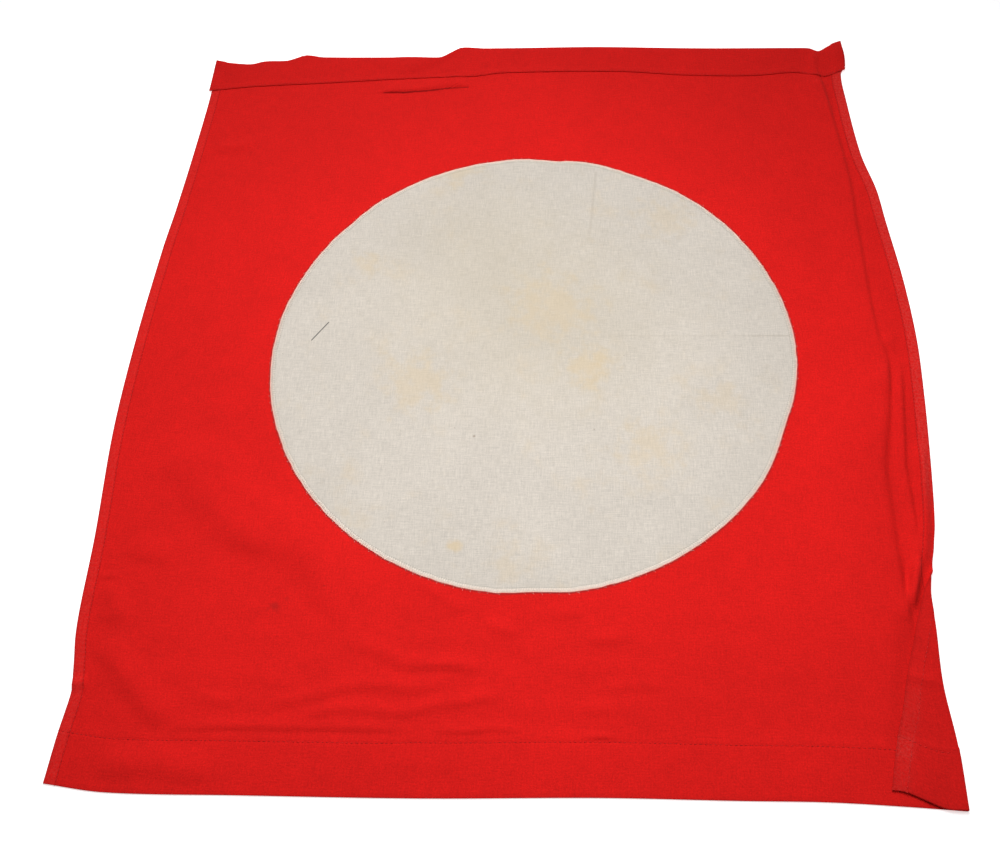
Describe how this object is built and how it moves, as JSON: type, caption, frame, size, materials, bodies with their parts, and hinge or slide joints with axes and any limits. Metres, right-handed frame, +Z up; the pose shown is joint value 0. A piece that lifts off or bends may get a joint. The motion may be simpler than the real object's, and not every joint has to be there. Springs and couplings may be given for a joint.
{
  "type": "folded cloth flag",
  "caption": "Old hemmed cotton flag laid flat, with a plain sewn-on disc, a pole sleeve along its end and a corner turned over on to the front.",
  "frame": {"origin": "middle of the laid-out flag's box, on the surface that it lies on", "axes": "+X towards the side with the turned-over corner, +Y towards the pole sleeve, +Z up from the surface to the flag's front"},
  "size_m": [0.8456, 0.9532, 0.0102],
  "materials": {
    "red_cotton": "matt plain-weave cotton, bright red, slightly creased and soiled",
    "white_cotton": "matt plain-weave cotton, aged off-white with faint brown stains"
  },
  "bodies": {
    "root": {"flag_cloth": "red_cotton", "disc": "white_cotton"}
  },
  "joints": []
}
